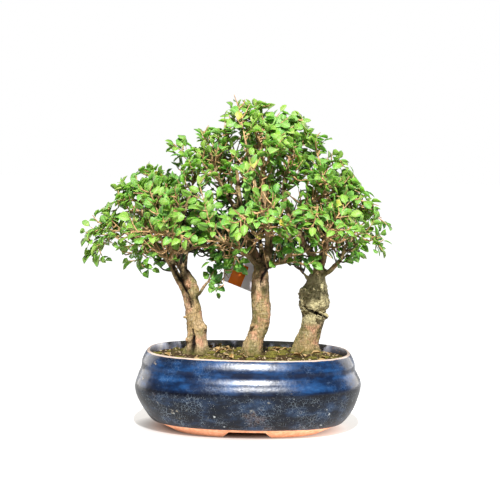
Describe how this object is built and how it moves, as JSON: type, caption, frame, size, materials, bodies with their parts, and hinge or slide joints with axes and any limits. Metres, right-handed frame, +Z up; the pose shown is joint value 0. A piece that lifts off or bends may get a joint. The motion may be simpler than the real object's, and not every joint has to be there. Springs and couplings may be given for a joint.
{
  "type": "chinese elm forest bonsai",
  "caption": "Small forest bonsai of Chinese elms with twiggy leafy crowns, growing from mossy soil in a blue glazed oval pot on cut clay feet.",
  "frame": {"origin": "on the surface the pot stands on, under the middle of the whole outline seen from above", "axes": "+Z up, +X to the right seen from the front, +Y towards the back"},
  "size_m": [0.3636, 0.229, 0.3775],
  "materials": {
    "glaze": "gloss blue glaze over terracotta, bare on the foot and thin on the rim",
    "soil": "rough, mossy",
    "bark": "rough bark",
    "leaf": "satin leaf on brown twigs",
    "card": "matt coated card, plain",
    "tie": "matt",
    "screen": "matt black"
  },
  "bodies": {
    "root": {"pot": "glaze", "soil": "soil", "drain_screen_left": "screen", "drain_screen_right": "screen", "hang_tag": "card", "tag_tie": "tie", "left_tree": "bark", "middle_tree": "bark", "right_tree": "bark", "left_spray_01": "leaf", "left_spray_02": "leaf", "left_spray_03": "leaf", "left_spray_04": "leaf", "left_spray_05": "leaf", "left_spray_06": "leaf", "left_spray_07": "leaf", "left_spray_08": "leaf", "left_spray_09": "leaf", "left_spray_10": "leaf", "left_spray_11": "leaf", "left_spray_12": "leaf", "left_spray_13": "leaf", "left_spray_14": "leaf", "left_spray_15": "leaf", "left_spray_16": "leaf", "left_spray_17": "leaf", "middle_spray_01": "leaf", "middle_spray_02": "leaf", "middle_spray_03": "leaf", "middle_spray_04": "leaf", "middle_spray_05": "leaf", "middle_spray_06": "leaf", "middle_spray_07": "leaf", "middle_spray_08": "leaf", "middle_spray_09": "leaf", "middle_spray_10": "leaf", "middle_spray_11": "leaf", "middle_spray_12": "leaf", "middle_spray_13": "leaf", "middle_spray_14": "leaf", "middle_spray_15": "leaf", "middle_spray_16": "leaf", "middle_spray_17": "leaf", "right_spray_01": "leaf", "right_spray_02": "leaf", "right_spray_03": "leaf", "right_spray_04": "leaf", "right_spray_05": "leaf", "right_spray_06": "leaf", "right_spray_07": "leaf", "right_spray_08": "leaf", "right_spray_09": "leaf", "right_spray_10": "leaf", "right_spray_11": "leaf", "right_spray_12": "leaf", "right_spray_13": "leaf", "right_spray_14": "leaf", "right_spray_15": "leaf", "right_spray_16": "leaf", "right_spray_17": "leaf"}
  },
  "joints": []
}
